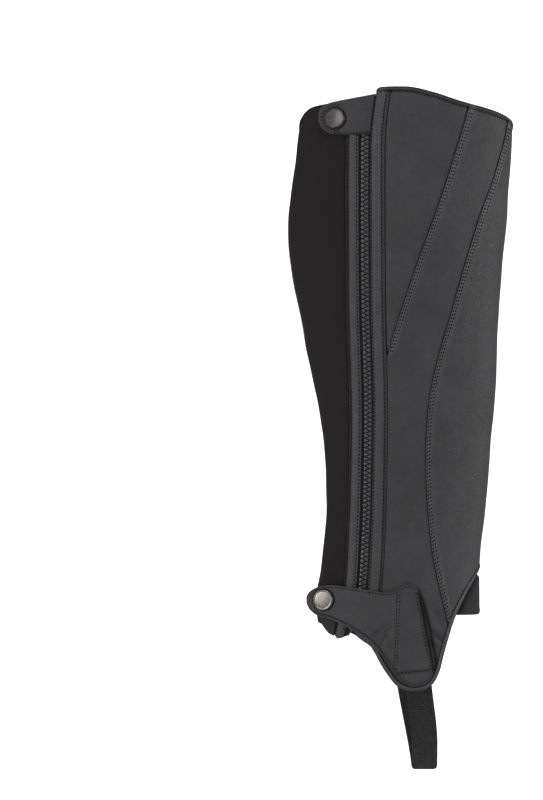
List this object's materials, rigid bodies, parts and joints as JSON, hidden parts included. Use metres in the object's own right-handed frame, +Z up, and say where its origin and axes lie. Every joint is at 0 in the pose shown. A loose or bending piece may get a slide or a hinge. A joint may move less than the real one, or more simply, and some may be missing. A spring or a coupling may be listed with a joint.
{
  "type": "half chap",
  "caption": "Zip-up leather half chap for the lower leg, with stretch calf panel, snap tabs, shaped flaps over the ankle and an elastic stirrup strap.",
  "frame": {"origin": "middle of the leg hollow at the calf's widest level, where the wearer's leg holds it", "axes": "+Z up the leg, +X towards the shin, -Y the outer side with the zip, +Y the inner side"},
  "size_m": [0.1578, 0.0814, 0.4787],
  "materials": {
    "panel_leather": "smooth, semi-matt",
    "strip_leather": "smooth, semi-matt",
    "stretch_cloth": "matt knit",
    "mesh_lining": "open mesh",
    "elastic_webbing": "ribbed",
    "zip_tape": "woven tape",
    "zip_teeth": "moulded",
    "snap_metal": "brushed"
  },
  "bodies": {
    "root": {"outer_upper_panel": "panel_leather", "outer_panel": "panel_leather", "shin_panel": "panel_leather", "inner_panel": "panel_leather", "inner_back_strip": "strip_leather", "stretch_panel": "stretch_cloth", "outer_upper_lining": "mesh_lining", "outer_lining": "mesh_lining", "shin_lining": "mesh_lining", "inner_lining": "mesh_lining", "top_binding": "strip_leather", "bottom_binding": "strip_leather", "zip_front_strip": "strip_leather", "zip_rear_strip": "strip_leather", "zip_front_tape": "zip_tape", "zip_rear_tape": "zip_tape", "zip_chain": "zip_teeth", "zip_slider": "snap_metal", "instep_tab": "stretch_cloth", "stirrup_strap": "elastic_webbing", "top_tab": "strip_leather", "ankle_strap": "strip_leather", "snap_base": "strip_leather", "top_snap_cap": "snap_metal", "top_snap_stud": "snap_metal", "ankle_snap_cap": "snap_metal", "ankle_snap_stud": "snap_metal"}
  },
  "joints": []
}
